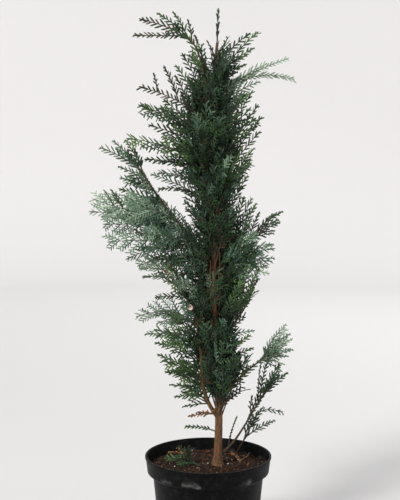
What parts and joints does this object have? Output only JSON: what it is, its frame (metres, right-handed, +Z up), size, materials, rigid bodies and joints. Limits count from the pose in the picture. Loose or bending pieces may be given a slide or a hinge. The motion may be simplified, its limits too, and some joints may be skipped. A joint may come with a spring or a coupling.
{
  "type": "lawson cypress in a nursery pot",
  "caption": "Young upright lawson cypress with flat scaly sprays of green and blue-green foliage, growing in soil in a round black plastic nursery pot.",
  "frame": {"origin": "centre of the pot's flat underside, where it stands on the ground", "axes": "+Z up along the trunk; +X to the right in the picture and +Y away from the camera"},
  "size_m": [0.3167, 0.19, 0.8107],
  "materials": {
    "pot_plastic": "satin black moulded plastic",
    "potting_soil": "moist dark crumbly potting soil",
    "bark": "thin reddish-brown bark, finely fissured",
    "foliage": "dark green scale leaves",
    "glaucous_foliage": "blue-green scale leaves with a waxy bloom"
  },
  "bodies": {
    "root": {"back_spray_1": "foliage", "back_spray_2": "foliage", "back_spray_3": "foliage", "back_spray_4": "foliage", "back_spray_5": "foliage", "back_spray_6": "foliage", "back_spray_7": "foliage", "bare_twig": "bark", "front_spray_1": "foliage", "front_spray_2": "foliage", "front_spray_3": "foliage", "front_spray_4": "foliage", "front_spray_5": "foliage", "front_spray_6": "foliage", "great_left_droop": "glaucous_foliage", "great_left_lower": "glaucous_foliage", "great_left_side": "glaucous_foliage", "great_left_top": "glaucous_foliage", "great_left_under": "glaucous_foliage", "great_left_upper": "glaucous_foliage", "leader": "foliage", "left_arch_spray": "foliage", "left_bough": "bark", "left_dark_spray": "foliage", "left_foot_spray": "foliage", "left_green_spray": "foliage", "left_low_spray": "foliage", "left_mid_low_spray": "foliage", "left_mid_spray": "foliage", "left_pale_spray": "glaucous_foliage", "left_sprig": "foliage", "left_stem": "bark", "left_stem_spray": "glaucous_foliage", "pot": "pot_plastic", "right_base_bough": "bark", "right_base_spray": "foliage", "right_bough_spray": "glaucous_foliage", "right_fan_spray": "foliage", "right_limb": "bark", "right_limb_spray": "foliage", "right_low_bough": "bark", "right_low_spray": "foliage", "right_mid_spray": "foliage", "right_pale_spray": "glaucous_foliage", "right_side_spray": "foliage", "right_upper_spray": "foliage", "right_wing_bough": "bark", "right_wing_spray": "foliage", "soil": "potting_soil", "soil_shoot": "bark", "soil_shoot_spray": "foliage", "soil_sprig": "foliage", "top_left_bough": "bark", "top_left_inner_spray": "foliage", "top_left_spray": "foliage", "top_right_low_spray": "glaucous_foliage", "top_right_spray": "foliage", "trunk": "bark", "upper_left_low_spray": "foliage", "upper_left_spray": "foliage"}
  },
  "joints": []
}
